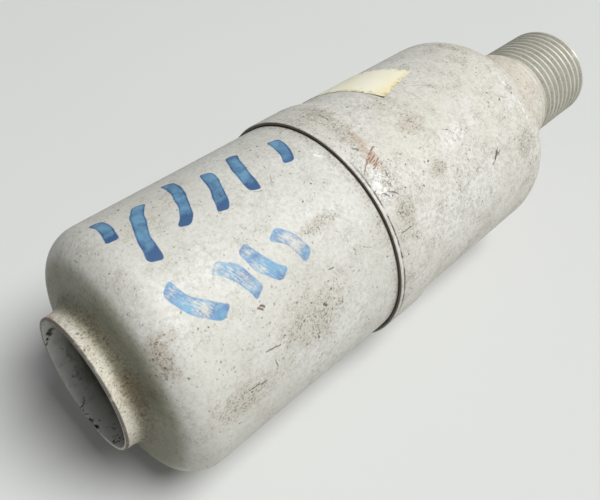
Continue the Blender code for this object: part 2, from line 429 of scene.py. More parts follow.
# Shared effects
def make_unrolled():
    """Lays the round surface flat: the station along x, the distance round the shell along y."""
    tree, g, start, end = effect_group(
        "unrolled_shell",
        {"Position": "vector"},
        {"Flat": "vector", "Radius": "value"},
    )
    x, y, z = g.parts(start["Position"])
    angle = g.math("ARCTAN2", z, y)
    g.feed(end["Flat"], g.joined(x, g.times(angle, shell_radius)))
    g.feed(end["Radius"], g.vector("LENGTH", g.joined(0.0, y, z)))
    return tree


def make_specks():
    """Small ragged chips: one in some cells of a random net, each with its own size and strength."""
    tree, g, start, end = effect_group(
        "paint_specks",
        {"Position": "vector", "Scale": "value", "Share": "value", "Size": "value"},
        {"Mask": "value"},
    )
    frayed = g.shaken(start["Position"], 3600, 0.00055, 3.0, 0.65)
    net = g.cells(frayed, start["Scale"])
    chance, size, depth = g.parts(net.outputs["Color"])
    picked = g.math("LESS_THAN", chance, start["Share"])
    reach = g.times(start["Size"], g.span(size, 0.30, 1.0))
    dot = g.ramp(g.math("DIVIDE", net.outputs["Distance"], reach), 1.0, 0.5)
    g.feed(end["Mask"], g.both(dot, picked, g.span(depth, 0.35, 1.0)))
    return tree


def make_scratches():
    """Short fine scratches that lie on the surface in a few directions, slightly bowed and broken."""
    tree, g, start, end = effect_group(
        "fine_scratches",
        {"Flat": "vector", "Share": "value"},
        {"Mask": "value"},
    )
    bowed = g.shaken(start["Flat"], 420, 0.0016, 3.0, 0.6)
    crowd = g.span(g.ramp(g.noise(start["Flat"], 120, 2.0), 0.38, 0.66), 0.1, 1.6)
    share = g.times(start["Share"], crowd)
    masks = []
    for angle, length, width in (
        (0.45, 0.0052, 0.00030),
        (1.20, 0.0040, 0.00026),
        (2.25, 0.0060, 0.00030),
        (2.75, 0.0034, 0.00034),
    ):
        net = g.cells(g.turned(bowed, angle, (length, width, 1)), 1.0)
        chance, size, depth = g.parts(net.outputs["Color"])
        picked = g.math("LESS_THAN", chance, share)
        reach = g.span(size, 0.08, 0.36)
        line = g.ramp(g.math("DIVIDE", net.outputs["Distance"], reach), 1.0, 0.3)
        masks.append(g.both(line, picked, g.span(depth, 0.2, 1.0)))
    broken = g.ramp(g.noise(start["Flat"], 2600, 2.0), 0.34, 0.52)
    g.feed(end["Mask"], g.both(g.either(*masks), broken))
    return tree


def make_blotch():
    """One stain at its own place on the flat surface, with a broken edge."""
    tree, g, start, end = effect_group(
        "local_stain",
        {"Flat": "vector", "Centre": "vector", "Reach": "vector", "Broken": "value"},
        {"Mask": "value"},
    )
    offset = g.vector("DIVIDE", g.vector("SUBTRACT", start["Flat"], start["Centre"]), start["Reach"])
    ragged = g.minus(g.noise(start["Flat"], 620, 5.0, 0.7), 0.5)
    distance = g.plus(g.vector("LENGTH", offset), g.times(ragged, start["Broken"]))
    g.feed(end["Mask"], g.ramp(distance, 1.0, 0.25))
    return tree


def make_line():
    """One stroke of even width between two places on the flat surface, and where its ink pools."""
    tree, g, start, end = effect_group(
        "dragged_line",
        {"Flat": "vector", "Start": "vector", "End": "vector", "Width": "value", "Bow": "value"},
        {"Mask": "value", "Pool": "value"},
    )
    run = g.vector("SUBTRACT", start["End"], start["Start"])
    length = g.vector("LENGTH", run)
    ahead = g.vector("NORMALIZE", run)
    offset = g.vector("SUBTRACT", start["Flat"], start["Start"])
    share = g.math("DIVIDE", g.vector("DOT_PRODUCT", offset, ahead), length)
    from_middle = g.math("ABSOLUTE", g.minus(g.times(share, 2.0), 1.0))
    arch = g.minus(1.0, g.times(from_middle, from_middle))
    sideways = g.vector("DOT_PRODUCT", offset, g.vector("CROSS_PRODUCT", ahead, (0, 0, 1)))
    aside = g.math("ABSOLUTE", g.minus(sideways, g.times(arch, start["Bow"])))
    half = g.times(start["Width"], 0.5)
    corner = g.times(half, LINE_CORNER)
    over = g.times(g.times(g.minus(from_middle, 1.0), 0.5), length)
    past_end = g.plus(over, corner)
    past_side = g.plus(g.minus(aside, half), corner)
    outside = g.vector("LENGTH", g.vector("MAXIMUM", g.joined(past_end, past_side), (0, 0, 0)))
    inside = g.math("MINIMUM", g.math("MAXIMUM", past_end, past_side), 0.0)
    distance = g.minus(g.plus(outside, inside), corner)
    mask = g.minus(0.5, g.times(distance, LINE_EDGE), clamp=True)
    rim = g.ramp(g.math("DIVIDE", distance, half), -0.42, -0.04)
    last = g.ramp(share, 0.66, 0.96)
    g.feed(end["Mask"], mask)
    g.feed(end["Pool"], g.both(mask, g.either(last, g.times(rim, 0.8))))
    return tree


def make_aged_paint(specks):
    """Satin grey paint that has been handled: mottled, rubbed, dusty and speckled, dirtier where told."""
    tree, g, start, end = effect_group(
        "aged_paint",
        {
            "Position": "vector",
            "Warmth": "value",
            "Dirt": "value",
            "Chips": "value",
            "Rubbed": "value",
            "Grime": "value",
        },
        {"Color": "color", "Roughness": "value", "Height": "value"},
    )
    place, grime = start["Position"], start["Grime"]
    mottle = g.noise(place, 75, 5.0, 0.62)
    cloud = g.noise(place, 260, 6.0, 0.70)
    fine = g.noise(place, 1500, 5.0, 0.72)
    grain = g.noise(place, 2900, 4.0, 0.66)
    warm = g.times(g.span(g.ramp(mottle, 0.32, 0.70), 0.40, 1.0), start["Warmth"])
    color = g.mix(warm, COOL_PAINT, WARM_PAINT)
    film = g.times(g.ramp(cloud, 0.46, 0.74), start["Dirt"])
    color = g.mix(g.times(film, 0.75), color, DIRT_FILM)
    cover = g.times(g.ramp(fine, 0.44, 0.72), g.span(start["Dirt"], 0.06, 0.58))
    color = g.mix(cover, color, DUST)
    color = g.mix(g.times(g.ramp(grain, 0.36, 0.68), 0.25), color, DUST)
    haze = g.span(g.ramp(mottle, 0.58, 0.36), 0.15, 1.0)
    rubbed = g.both(haze, g.ramp(fine, 0.60, 0.40), start["Rubbed"])
    color = g.mix(rubbed, color, RUBBED_PAINT)
    color = g.mix(g.times(grime, 0.36), color, GRIME_FILM)
    patch = g.times(g.ramp(cloud, 0.46, 0.66), start["Dirt"])
    gathered = g.ramp(g.noise(place, 950, 4.0, 0.7), 0.38, 0.62)
    pepper = g.both(g.ramp(grain, 0.47, 0.58), g.span(gathered, 0.25, 1.0))
    dirt = g.both(pepper, g.either(g.times(patch, 0.80), grime))
    color = g.mix(g.times(dirt, 0.80), color, DIRT_GRAIN)
    crowd = g.span(g.ramp(g.noise(place, 150, 4.0, 0.6), 0.42, 0.66), 0.12, 2.0)
    share = g.plus(g.times(start["Chips"], crowd), g.times(grime, 0.30))
    masks = []
    for scale, part, size, strength in (
        (640.0, 0.50, 0.24, 1.00),
        (1500.0, 0.85, 0.36, 0.88),
        (2900.0, 0.60, 0.48, 0.72),
    ):
        some = g.times(share, part)
        chips = g.effect(specks, position=place, scale=scale, share=some, size=size)["Mask"]
        masks.append(g.times(chips, strength))
    dark = g.either(*masks)
    color = g.mix(dark, color, BARE_CHIP)
    g.feed(end["Color"], color)
    rough = g.minus(g.span(fine, 0.46, 0.62), g.times(rubbed, 0.08))
    g.feed(end["Roughness"], g.plus(rough, g.times(g.either(dark, dirt), 0.22), clamp=True))
    skin = g.plus(g.times(fine, 0.35), g.times(mottle, 0.5))
    g.feed(end["Height"], g.minus(skin, g.times(dark, 0.8)))
    return tree


unrolled = make_unrolled()
paint_specks = make_specks()
fine_scratches = make_scratches()
local_stain = make_blotch()
dragged_line = make_line()
aged_paint = make_aged_paint(paint_specks)


# Materials
def look(name):
    """A new material: returns it with a Graph, its shader and the place on the piece."""
    made = bpy.data.materials.new(name)
    made.use_nodes = True
    g = Graph(made.node_tree)
    shader = made.node_tree.nodes["Principled BSDF"].inputs
    position = g.add("ShaderNodeTexCoord").outputs["Object"]
    return made, g, shader, position


def dress(g, shader, color, roughness, height, depth):
    """Feeds a finished surface to the shader, with its height in metres of depth."""
    g.feed(shader["Base Color"], color)
    g.feed(shader["Roughness"], roughness)
    bump = g.add("ShaderNodeBump")
    bump.inputs["Distance"].default_value = depth
    g.feed(bump.inputs["Height"], height)
    g.feed(shader["Normal"], bump.outputs["Normal"])


def flat_place(station, degrees):
    """A place on the flat shell from its station and its angle round the axis."""
    return (station, math.radians(degrees) * shell_radius, 0)


def on_shell(g, place):
    """The flat place, the radius and the station of a place on a round surface."""
    surface = g.effect(unrolled, position=place)
    return surface["Flat"], surface["Radius"], g.parts(place)[0]


def lines_on(g, flat, width, *strokes):
    """Masks of strokes and of the ink pooled in them, each from one (station, degrees) to another."""
    masks, pools = [], []
    for first, second, *bow in strokes:
        ends = {"start": flat_place(*first), "end": flat_place(*second)}
        line = g.effect(dragged_line, flat=flat, width=width, bow=sum(bow), **ends)
        masks.append(line["Mask"])
        pools.append(line["Pool"])
    return g.either(*masks), g.either(*pools)


def stains(g, flat, *spots):
    """One mask of stains, each given as (station, degrees), reach along and round, and how broken."""
    masks = []
    for spot, along, around, broken in spots:
        shape = {"centre": flat_place(*spot), "reach": (along, around, 1), "broken": broken}
        masks.append(g.effect(local_stain, flat=flat, **shape)["Mask"])
    return g.either(*masks)


def marker_ink(g, flat, color):
    """Blue marker dashes on the paint: a fresh slanted row and, below it, a row rubbed nearly away."""
    wander = g.shaken(flat, 230, 0.0011, 1.0)
    fresh, pool = lines_on(
        g,
        wander,
        0.0020,
        ((0.0864, 101), (0.0884, 84), 0.0006),
        ((0.0930, 106), (0.0962, 81), -0.0007),
        ((0.0992, 104), (0.1028, 80), 0.0006),
        ((0.1042, 113), (0.1086, 83), 0.0010),
        ((0.1104, 108), (0.1152, 76), -0.0008),
        ((0.1166, 112), (0.1176, 94), 0.0004),
    )
    rubbed, rubbed_pool = lines_on(
        g,
        wander,
        0.0024,
        ((0.0996, 61), (0.0966, 45), 0.0008),
        ((0.1046, 63), (0.1012, 45), -0.0006),
        ((0.1100, 62), (0.1060, 44), 0.0010),
        ((0.1166, 66), (0.1114, 46), -0.0010),
    )
    tone = g.noise(flat, 300, 5.0, 0.65)
    patches = g.times(g.ramp(tone, 0.38, 0.62), 0.65)
    depth = g.plus(g.times(pool, 0.85), patches, clamp=True)
    ink = g.mix(depth, INK_THIN, INK_THICK)
    color = g.mix(g.times(fresh, 0.95), color, ink)
    worn = g.noise(flat, 260, 4.0, 0.6)
    streaks = g.noise(g.turned(flat, 1.1, (0.0011, 0.00024, 1)), 1.0, 5.0, 0.70)
    gone = g.ramp(g.plus(worn, g.times(streaks, 0.9)), 0.86, 1.10)
    kept = g.minus(0.94, g.times(gone, g.span(rubbed_pool, 0.86, 0.40)))
    pale = g.mix(g.ramp(tone, 0.36, 0.64), RUBBED_INK_THIN, RUBBED_INK_THICK)
    return g.mix(g.both(rubbed, kept), color, pale)


def make_front_paint():
    made, g, shader, place = look("front_shell_paint")
    flat, radius, station = on_shell(g, place)
    ragged = g.noise(place, 420, 5.0, 0.7)
    # Bands behind the outlet rim: grime in the fillet, painted shade on the end face and at the collar's
    # root
    fillet, end_face_shade, root = (
        g.band(station, *(outlet_rim - back for back in backs))
        for backs in (
            (0.0044, 0.0032, 0.0024, 0.0008),
            (0.0056, 0.0043, 0.0026, 0.0010),
            (0.0046, 0.0034, 0.0029, 0.0021),
        )
    )
    collar = g.ramp(station, outlet_rim - 0.0030, outlet_rim - 0.0014)
    bleed = g.both(g.ramp(station, socket_mouth + 0.0024, socket_mouth), g.ramp(ragged, 0.30, 0.60))
    stipple = stains(
        g,
        flat,
        ((0.1214, 46), 0.0015, 0.0052, 1.5),
        ((0.1003, 22), 0.0090, 0.0056, 2.3),
        ((0.1140, 12), 0.0075, 0.0036, 2.3),
        ((0.0920, 54), 0.0060, 0.0016, 2.6),
    )
    grime = g.either(
        g.times(fillet, 0.80),
        g.times(g.both(collar, g.span(ragged, 0.2, 1.3)), 0.72),
        g.times(bleed, 0.95),
        g.times(stipple, 0.95),
    )
    smudge = stains(g, flat, ((0.1214, 46), 0.0016, 0.0050, 1.5), ((0.1196, 51), 0.0014, 0.0022, 2.2))
    low_root = stains(g, flat, ((0.1247, 30), 0.0023, 0.0105, 1.4))
    root_rust = g.either(low_root, stains(g, flat, ((0.1256, 92), 0.0018, 0.0110, 2.4)))
    worn = stains(g, flat, ((0.0845, 45), 0.0016, 0.0022, 1.0), ((0.0836, 80), 0.0012, 0.0016, 1.0))
    paint = g.effect(
        aged_paint,
        position=place,
        warmth=0.32,
        dirt=0.50,
        chips=0.21,
        rubbed=g.plus(g.times(worn, 0.9), 0.30),
        grime=grime,
    )
    scratch = g.effect(fine_scratches, flat=flat, share=0.030)["Mask"]
    # Painted shade on the end face and at the collar's root
    color = g.mix(end_face_shade, paint["Color"], FACE_SHADE_TINT, "MULTIPLY")
    color = g.mix(root, color, ROOT_SHADE_TINT, "MULTIPLY")
    color = g.mix(collar, color, COLLAR_TINT, "MULTIPLY")
    # Painted shade low on the collar's root; the same stain also gathers rust dots
    color = g.mix(g.times(low_root, 0.85), color, LOW_ROOT_SHADE_TINT, "MULTIPLY")
    color = g.mix(g.times(smudge, 0.18), color, SMUDGE_FILM)
    dots = g.effect(paint_specks, position=place, scale=2300.0, share=0.80, size=0.54)["Mask"]
    blots = g.effect(paint_specks, position=place, scale=1350.0, share=0.62, size=0.46)["Mask"]
    peppered = g.times(g.either(collar, fillet), 0.70)
    color = g.mix(g.both(dots, g.either(smudge, root_rust, peppered)), color, RUST_DOT)
    color = g.mix(g.both(blots, g.either(smudge, g.times(root_rust, 0.7))), color, RUST_DOT)
    color = marker_ink(g, flat, color)
    color = g.mix(g.times(scratch, 0.85), color, SCRATCH_DARK)
    unsteady = g.shaken(flat, 800, 0.0010)
    ticks = lines_on(
        g,
        unsteady,
        0.00026,
        ((0.1073, 40.8), (0.1067, 38.8)),
        ((0.1069, 41), (0.1063, 39)),
    )[0]
    color = g.mix(g.times(ticks, 0.9), color, RUST_TICK)
    gouge = g.either(
        lines_on(
            g,
            unsteady,
            0.00042,
            ((0.0976, 25.3), (0.0969, 24.4)),
            ((0.0998, 14.2), (0.0996, 12.6)),
        )[0],
        lines_on(
            g,
            unsteady,
            0.00018,
            ((0.1090, 24.0), (0.1064, 22.6)),
            ((0.1131, 14.0), (0.1100, 12.4)),
            ((0.1080, 18.6), (0.1078, 14.2)),
            ((0.1012, 86.2), (0.1010, 88.8)),
            ((0.0945, 36.2), (0.0935, 36.0)),
        )[0],
    )
    color = g.mix(g.times(gouge, 0.85), color, SCRATCH_DARK)
    # Painted shade and grime: a thin dark line on the front shell where the socket's lip overhangs it
    color = g.mix(g.ramp(station, socket_mouth + 0.00016, socket_mouth - 0.00002), color, SEAM_GRIME_AND_SHADE)
    rim = g.ramp(station, outlet_rim - 0.00014, outlet_rim - 0.00005)
    outer_half = g.ramp(radius, COLLAR_RADIUS - 0.00032, COLLAR_RADIUS - 0.00018)
    wall_line = g.ramp(station, outlet_rim - 0.00042, outlet_rim - 0.00026)
    dark_line = g.both(wall_line, outer_half, g.ramp(ragged, 0.26, 0.46))
    # Painted shade: the bare rim line turns dark on the side towards -Y
    far_side = g.ramp(g.parts(place)[1], 0.0050, -0.0010)
    color = g.mix(rim, color, g.mix(far_side, BARE_RIM, SHADED_RIM))
    color = g.mix(g.times(dark_line, 0.92), color, SCRATCH_DARK)
    rust = stains(g, flat, ((outlet_rim, 128), 0.0012, 0.0060, 2.0))
    color = g.mix(g.both(rust, g.ramp(ragged, 0.40, 0.56)), color, RUST_LINE)
    shader["Specular IOR Level"].default_value = PAINT_GLOSS
    height = g.minus(paint["Height"], g.times(g.either(scratch, gouge, ticks), 0.7))
    dress(g, shader, color, paint["Roughness"], height, 0.00005)
    return made


def rust_hatch(g, flat, color):
    """A reddish smear on the socket, made of short strokes side by side over a thin film."""
    film = stains(g, flat, ((0.0772, 64.0), 0.0017, 0.0028, 1.6), ((0.0766, 73.0), 0.0011, 0.0030, 1.8))
    strokes = []
    for step in range(7):
        reach = 0.0015 + 0.0006 * math.sin(2.4 * step)
        station = 0.0784 - 0.00015 * step + 0.0003 * math.sin(5.0 * step)
        angle = 60.0 + 1.1 * step
        strokes.append(((station, angle), (station - reach, angle + 900 * reach)))
    unsteady = g.shaken(flat, 900, 0.0006)
    hatch = lines_on(g, unsteady, 0.00024, *strokes, ((0.0804, 60.2), (0.0778, 65.4)))[0]
    broken = g.ramp(g.noise(flat, 1900, 3.0), 0.34, 0.50)
    color = g.mix(g.times(film, 0.50), color, RUST_FILM)
    return g.mix(g.both(hatch, g.span(broken, 0.15, 0.95)), color, RUST_LINE)


def make_rear_paint():
    made, g, shader, place = look("rear_shell_paint")
    flat, radius, station = on_shell(g, place)
    ragged = g.noise(place, 420, 5.0, 0.7)
    low_side = g.ramp(g.parts(flat)[1], math.radians(74) * shell_radius, math.radians(52) * shell_radius)
    # Painted sheen with rubbed paint: light patches laid along the band where the shell's highlight falls
    worn = stains(
        g,
        flat,
        ((0.0783, 51), 0.0040, 0.0036, 1.8),
        ((0.0690, 51), 0.0064, 0.0034, 1.8),
        ((0.0605, 53), 0.0075, 0.0022, 1.2),
        ((0.0450, 52), 0.0050, 0.0050, 1.4),
    )
    stipple = stains(
        g,
        flat,
        ((0.0660, 45), 0.0032, 0.0020, 2.4),
        ((0.0772, 38), 0.0028, 0.0075, 2.2),
        ((0.0772, 49), 0.0026, 0.0050, 2.0),
        ((0.0768, 57), 0.0018, 0.0034, 2.0),
        ((0.0772, 80), 0.0026, 0.0064, 2.0),
        ((0.0758, 98), 0.0022, 0.0052, 2.2),
        ((0.0650, 69), 0.0040, 0.0034, 2.4),
        ((0.0422, 28), 0.0045, 0.0040, 2.0),
    )
    bend = g.both(g.band(station, 0.0386, 0.0396, 0.0402, 0.0412), g.ramp(ragged, 0.44, 0.60))
    neck = g.ramp(station, 0.0402, 0.0372)
    paint = g.effect(
        aged_paint,
        position=place,
        warmth=0.95,
        dirt=0.80,
        chips=0.36,
        rubbed=g.plus(g.times(worn, 0.66), 0.34),
        grime=g.either(g.times(stipple, 0.95), g.times(bend, 0.90)),
    )
    scratch = g.effect(fine_scratches, flat=flat, share=0.055)["Mask"]
    color = g.mix(g.both(neck, g.span(ragged, 0.55, 1.15)), paint["Color"], NECK_TINT, "MULTIPLY")
    color = g.mix(g.times(scratch, 0.85), color, SCRATCH_DARK)
    color = rust_hatch(g, flat, color)
    unsteady = g.shaken(flat, 750, 0.0012)
    nicks = lines_on(
        g,
        unsteady,
        0.00040,
        ((0.0399, 49), (0.0396, 46)),
        ((0.0399, 44), (0.0395, 41.5)),
        ((0.0397, 39.5), (0.0394, 38)),
        ((0.0402, 62), (0.0399, 60)),
    )[0]
    color = g.mix(g.times(nicks, 0.8), color, NICK_BRIGHT)
    gouge = g.either(
        lines_on(
            g,
            unsteady,
            0.00046,
            ((0.0522, 30.6), (0.0510, 33.8)),
            ((0.0440, 54.6), (0.0436, 53.8)),
        )[0],
        lines_on(
            g,
            unsteady,
            0.00018,
            ((0.0533, 28.8), (0.0520, 31.2)),
            ((0.0512, 32.8), (0.0506, 35.0)),
            ((0.0514, 32.2), (0.0502, 33.0)),
            ((0.0797, 49.4), (0.0788, 47.0)),
            ((0.0784, 48.4), (0.0769, 46.0)),
            ((0.0794, 31.0), (0.0773, 30.3)),
            ((0.0764, 57.4), (0.0770, 54.6)),
            ((0.0786, 72.2), (0.0780, 70.2)),
            ((0.0764, 98.6), (0.0766, 92.0)),
        )[0],
    )
    color = g.mix(g.times(gouge, 0.9), color, SCRATCH_DARK)
    hairlines = lines_on(
        g,
        unsteady,
        0.00013,
        ((0.0592, 86.2), (0.0586, 76.0)),
        ((0.0570, 86.6), (0.0540, 80.4)),
        ((0.0756, 105.8), (0.0746, 98.0)),
    )[0]
    color = g.mix(g.times(hairlines, 0.55), color, SCRATCH_DARK)
    lip = g.ramp(station, socket_mouth - 0.00075, socket_mouth - 0.00045)
    bare = g.both(lip, low_side, g.ramp(ragged, 0.62, 0.44))
    color = g.mix(g.times(bare, 0.40), color, WORN_LIP)
    groove_station = socket_mouth - LIP_GROOVE_STATION
    groove = g.both(
        g.band(station, *(groove_station + aside for aside in (-0.00026, -0.00006, 0.00006, 0.00026))),
        g.ramp(g.noise(place, 260, 5.0, 0.75), 0.42, 0.54),
        low_side,
    )
    color = g.mix(g.times(groove, 0.85), color, DARK_GRIME)
    # Painted shade and grime on the lip's end face, which faces the outlet
    end_face_shade = g.both(
        g.ramp(station, socket_mouth - 0.0007, socket_mouth - 0.0004),
        g.ramp(radius, socket_radius - 0.00009, socket_radius - 0.00018),
    )
    color = g.mix(end_face_shade, color, SEAM_GRIME_AND_SHADE)
    shader["Specular IOR Level"].default_value = PAINT_GLOSS
    height = g.minus(paint["Height"], g.times(g.either(scratch, gouge), 0.7))
    dress(g, shader, color, paint["Roughness"], height, 0.00005)
    return made


def make_inner_paint():
    """The bare inside of the shells: dull grey with soot."""
    made, g, shader, place = look("sooty_inside")
    soot = g.ramp(g.noise(place, 210, 6.0, 0.7), 0.50, 0.66)
    film = g.noise(place, 900, 4.0, 0.6)
    color = g.mix(film, (0.56, 0.56, 0.515), (0.68, 0.675, 0.625))
    rim = g.ramp(g.parts(place)[0], outlet_rim - 0.0042, outlet_rim - 0.0004)
    streak = g.both(rim, g.ramp(g.noise(place, 380, 5.0, 0.75), 0.54, 0.60))
    color = g.mix(g.either(g.times(soot, 0.28), streak), color, (0.018, 0.017, 0.015))
    dress(g, shader, color, g.span(film, 0.55, 0.8), film, 0.00004)
    return made


def make_bead_paint():
    """Paint over the bead, brighter on its lumps and worn through to steel along the thread's side."""
    made, g, shader, place = look("bead_paint")
    station = g.parts(place)[0]
    paint = g.effect(aged_paint, position=place, warmth=0.9, dirt=0.6, chips=0.14, rubbed=0.2, grime=0.15)
    lumps = g.noise(place, 420, 4.0, 0.6)
    color = g.mix(0.55, paint["Color"], (0.455, 0.415, 0.350))
    color = g.mix(g.times(g.ramp(lumps, 0.46, 0.64), 0.80), color, (0.590, 0.540, 0.450))
    edge = g.plus(station, g.times(g.minus(lumps, 0.5), 0.0016))
    color = g.mix(g.ramp(edge, bead_start + 0.00030, bead_start + 0.00008), color, (0.270, 0.258, 0.215))
    shader["Specular IOR Level"].default_value = PAINT_GLOSS
    dress(g, shader, color, paint["Roughness"], g.noise(place, 700, 3.0), 0.0001)
    return made


def make_thread_steel():
    """Cut steel gone dull, rubbed a little brighter along the crests and on the end's edge; the crests
    also carry a painted highlight and the end a painted glint.
    """
    made, g, shader, place = look("thread_steel")
    flat, radius, station = on_shell(g, place)
    patina = g.noise(place, 260, 5.0, 0.6)
    grain = g.noise(place, 2400, 4.0, 0.7)
    tool_marks = g.noise(g.turned(place, 0.0, (0.00012, 0.004, 0.004)), 1.0, 3.0, 0.6)
    color = g.mix(patina, (0.490, 0.476, 0.400), (0.630, 0.612, 0.526))
    brown = g.ramp(g.noise(place, 330, 5.0, 0.7), 0.50, 0.68)
    color = g.mix(g.times(brown, 0.60), color, (0.395, 0.335, 0.265))
    color = g.mix(g.span(tool_marks, 0.0, 0.36), color, (0.330, 0.317, 0.256))
    color = g.mix(g.times(g.ramp(grain, 0.46, 0.66), 0.45), color, (0.265, 0.245, 0.195))
    # Painted highlight with wear: the crests are lightened along their cut length
    crest = g.ramp(radius, nipple_radius - 0.00026, nipple_radius - 0.00005)
    cut = g.ramp(station, RUN_OUT_END, RUN_OUT_START)
    bright = g.both(crest, g.span(cut, 0.15, 1.0), g.ramp(g.noise(place, 170, 4.0), 0.36, 0.60))
    color = g.mix(g.times(bright, 0.85), color, (0.620, 0.602, 0.540))
    edge = g.both(g.ramp(station, inlet_face + 0.0006, inlet_face + 0.0002), g.ramp(patina, 0.46, 0.58))
    # Painted glint: a light patch just behind the end's edge, at 50 degrees
    edge = g.either(edge, stains(g, flat, ((0.0006, 50), 0.0012, 0.0034, 0.8)))
    color = g.mix(g.times(edge, 0.85), color, (0.82, 0.79, 0.69))
    valley = g.ramp(radius, nipple_radius - THREAD_DEPTH + 0.00025, nipple_radius - THREAD_DEPTH)
    grime = g.both(valley, g.ramp(g.noise(place, 500, 4.0), 0.42, 0.62))
    color = g.mix(g.times(grime, 0.40), color, (0.19, 0.172, 0.132))
    rough = g.minus(g.span(tool_marks, 0.50, 0.66), g.times(bright, 0.14))
    g.feed(shader["Metallic"], g.span(patina, 0.12, 0.40))
    dress(g, shader, color, rough, tool_marks, 0.00003)
    return made


def make_plated_steel():
    """Zinc plate gone dull, for the diffuser, baffles and liners."""
    made, g, shader, place = look("plated_steel")
    bloom = g.noise(place, 160, 5.0, 0.65)
    spangle = g.parts(g.cells(place, 420.0).outputs["Color"])[0]
    color = g.mix(bloom, (0.42, 0.42, 0.41), (0.60, 0.60, 0.585))
    color = g.mix(g.span(spangle, 0.0, 0.30), color, (0.50, 0.51, 0.52))
    oil = g.ramp(g.noise(place, 95, 5.0, 0.6), 0.52, 0.70)
    color = g.mix(g.times(oil, 0.55), color, (0.13, 0.10, 0.065))
    shader["Metallic"].default_value = 0.55
    dress(g, shader, color, g.span(bloom, 0.40, 0.62), bloom, 0.00003)
    return made


def make_felt():
    made, g, shader, place = look("pressed_felt")
    fibres = g.noise(g.turned(place, 0.6, (0.0008, 0.0002, 0.0005)), 1.0, 5.0, 0.7)
    tufts = g.noise(place, 520, 4.0, 0.6)
    color = g.mix(fibres, (0.20, 0.185, 0.155), (0.46, 0.44, 0.39))
    color = g.mix(g.span(tufts, 0.0, 0.5), color, (0.30, 0.265, 0.215))
    shader["Sheen Weight"].default_value = 0.3
    dress(g, shader, color, g.span(tufts, 0.88, 1.0), fibres, 0.0003)
    return made


def make_label_paper():
    """Cream paper, yellowed towards its end and along its edges, with rubbed dirt."""
    made, g, shader, place = look("label_paper")
    flat = g.effect(unrolled, position=place)["Flat"]
    fibres = g.noise(g.turned(flat, 0.3, (0.0007, 0.00018, 1)), 1.0, 4.0, 0.6)
    aged = g.noise(flat, 160, 5.0, 0.6)
    arc = g.parts(flat)[1]
    first_arc = LABEL_FIRST_ANGLE * shell_radius
    end = g.ramp(arc, first_arc + 0.0026, first_arc - 0.0010)
    yellow = g.plus(g.times(end, 0.7), g.times(g.ramp(aged, 0.45, 0.70), 0.35), clamp=True)
    color = g.mix(yellow, (0.845, 0.815, 0.650), (0.770, 0.680, 0.400))
    color = g.mix(g.span(fibres, 0.0, 0.20), color, (0.62, 0.56, 0.40))
    corner = (LABEL_STATION, first_arc, 0)
    across, along, _ = g.parts(g.turned(g.vector("SUBTRACT", flat, corner), LABEL_TILT, (1, 1, 1)))
    side = g.ramp(g.math("ABSOLUTE", across), LABEL_WIDTH / 2 - 0.0012, LABEL_WIDTH / 2)
    border = g.either(side, g.ramp(along, 0.0011, 0.0))
    grimy = g.both(border, g.ramp(g.noise(flat, 900, 5.0, 0.7), 0.42, 0.60))
    color = g.mix(g.times(grimy, 0.75), color, (0.33, 0.25, 0.14))
    scuff = g.effect(paint_specks, position=place, scale=900.0, share=0.16, size=0.3)["Mask"]
    color = g.mix(g.times(scuff, 0.6), color, (0.30, 0.24, 0.15))
    dress(g, shader, color, g.span(aged, 0.45, 0.62), g.plus(fibres, g.times(aged, 1.5)), 0.00004)
    return made


front_paint = make_front_paint()
rear_paint = make_rear_paint()
sooty_inside = make_inner_paint()
bead_paint = make_bead_paint()
thread_steel = make_thread_steel()
plated_steel = make_plated_steel()
pressed_felt = make_felt()
label_paper = make_label_paper()


# Shells
def make_front_shell():
    face = outlet_rim - COLLAR_LIP - COLLAR_FILLET
    shape = bmesh.new()
    points = profile(
        shape,
        [
            (front_edge, shell_radius),
            (face, shell_radius),
            (face, COLLAR_RADIUS),
            (outlet_rim, COLLAR_RADIUS),
        ],
    )
    round_corner(shape, points[1], FRONT_SHOULDER, BEND_SEGMENTS)
    round_corner(shape, points[2], COLLAR_FILLET, BEND_SEGMENTS)
    spin_round(shape, SHELL_STEPS)
    wall(shape, 1)
    soften(shape, rings_at(shape, outlet_rim), RIM_ROUND)
    made = piece("drawn_front_shell", "shell_paint", shape, front_paint, sooty_inside)
    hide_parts("front_shell")


def make_rear_shell():
    drop = shell_radius - neck_radius
    bend = math.acos(1 - drop / (REAR_SHOULDER + NECK_FILLET))
    tangent = math.tan(bend / 2)
    neck_end = neck_lip + NECK_LENGTH
    body_start = neck_end + (REAR_SHOULDER + NECK_FILLET) * math.sin(bend)
    socket_start = socket_mouth - SOCKET_DEPTH
    step_start = socket_start - (JOGGLE_LENGTH + JOGGLE_RUN) / 2
    groove = socket_mouth - LIP_GROOVE_STATION
    shape = bmesh.new()
    points = profile(
        shape,
        [
            (neck_lip, neck_radius),
            (neck_end + NECK_FILLET * tangent, neck_radius),
            (body_start - REAR_SHOULDER * tangent, shell_radius),
            (step_start, shell_radius),
            (step_start + JOGGLE_RUN, socket_radius),
            (groove - LIP_GROOVE_WIDTH / 2, socket_radius),
            (groove, socket_radius - LIP_GROOVE_DEPTH),
            (groove + LIP_GROOVE_WIDTH / 2, socket_radius),
            (socket_mouth, socket_radius),
        ],
    )
    round_corner(shape, points[1], NECK_FILLET, BEND_SEGMENTS)
    round_corner(shape, points[2], REAR_SHOULDER, BEND_SEGMENTS)
    round_corner(shape, points[3], JOGGLE_BEND, BEND_SEGMENTS // 2)
    round_corner(shape, points[4], JOGGLE_BEND, BEND_SEGMENTS // 2)
    spin_round(shape, SHELL_STEPS)
    wall(shape, 1)
    soften(shape, rings_at(shape, socket_mouth), RIM_ROUND)
    soften(shape, rings_at(shape, neck_lip), NECK_LIP_ROUND)
    waver(shape, socket_mouth, LIP_WAVER_REACH, LIP_WAVER, LIP_WAVER_PERIOD)
    made = piece("drawn_rear_shell", "shell_paint", shape, rear_paint, sooty_inside)
    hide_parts("rear_shell")


